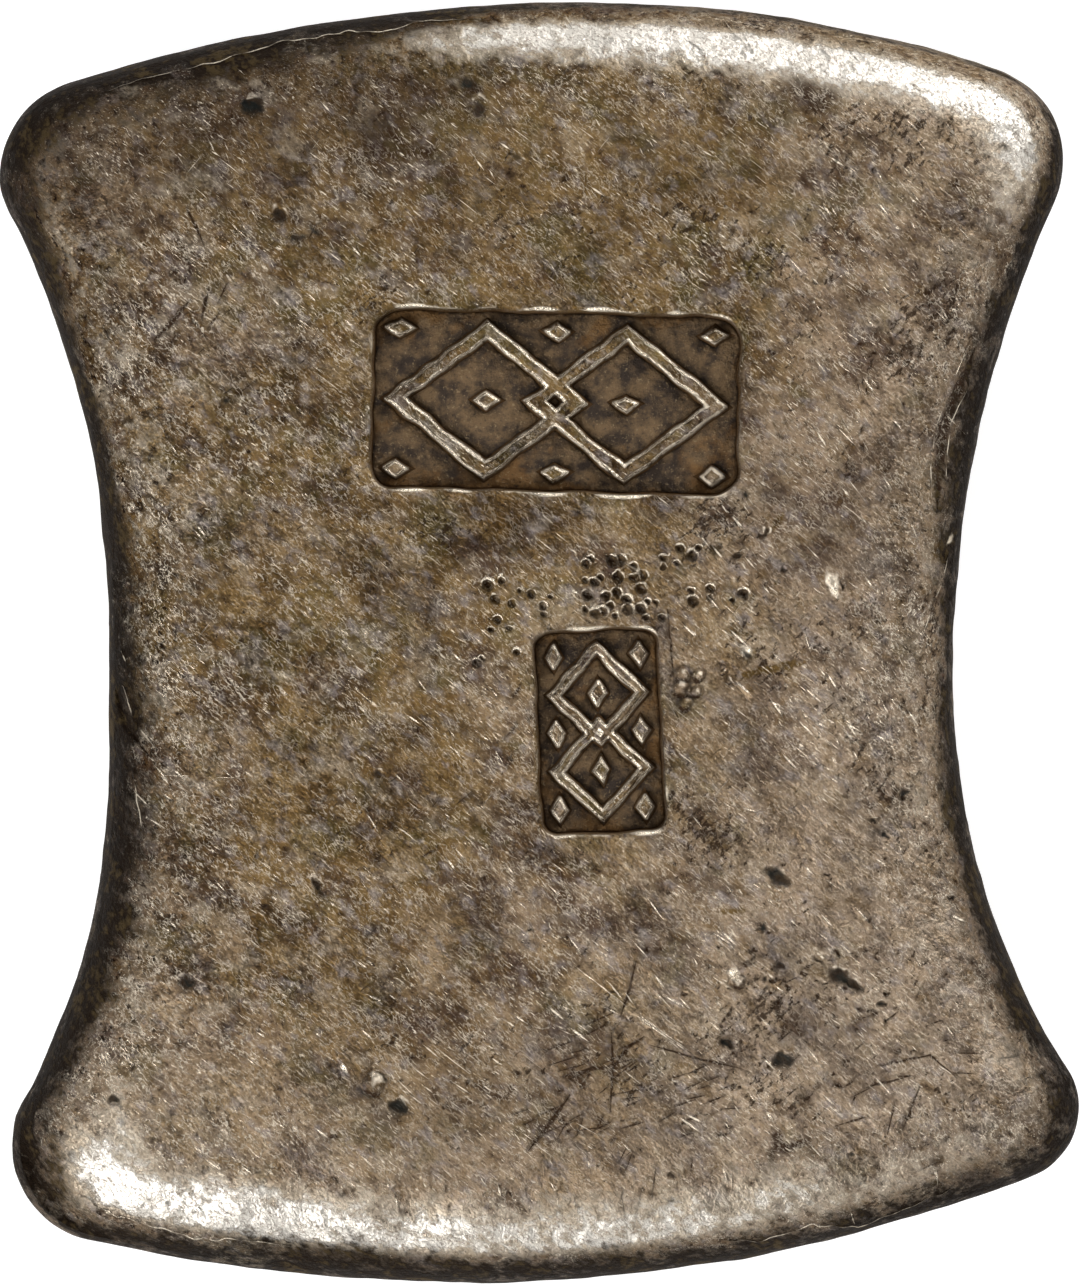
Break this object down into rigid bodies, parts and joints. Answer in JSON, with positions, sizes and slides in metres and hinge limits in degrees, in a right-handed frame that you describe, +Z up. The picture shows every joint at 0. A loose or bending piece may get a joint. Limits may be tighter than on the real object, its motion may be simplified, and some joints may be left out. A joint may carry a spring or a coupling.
{
  "type": "silver sycee ingot",
  "caption": "Waisted cast silver ingot with crowned ends, a rolled rim, drafted walls, a flat gas-pitted underside and two struck marks holding residue.",
  "frame": {"origin": "middle of the resting face, centred under the whole outline", "axes": "+Z up from the underside to the struck face, +Y along the length towards the wide mark, +X across"},
  "size_m": [0.0548, 0.065, 0.0132],
  "materials": {
    "tarnished_silver": "old cast silver, brown tarnish, worn bright on the rim",
    "earthy_residue": "dull packed earth, brown to ochre"
  },
  "bodies": {
    "root": {"silver_body": "tarnished_silver", "wide_mark_residue": "earthy_residue", "tall_mark_residue": "earthy_residue"}
  },
  "joints": []
}
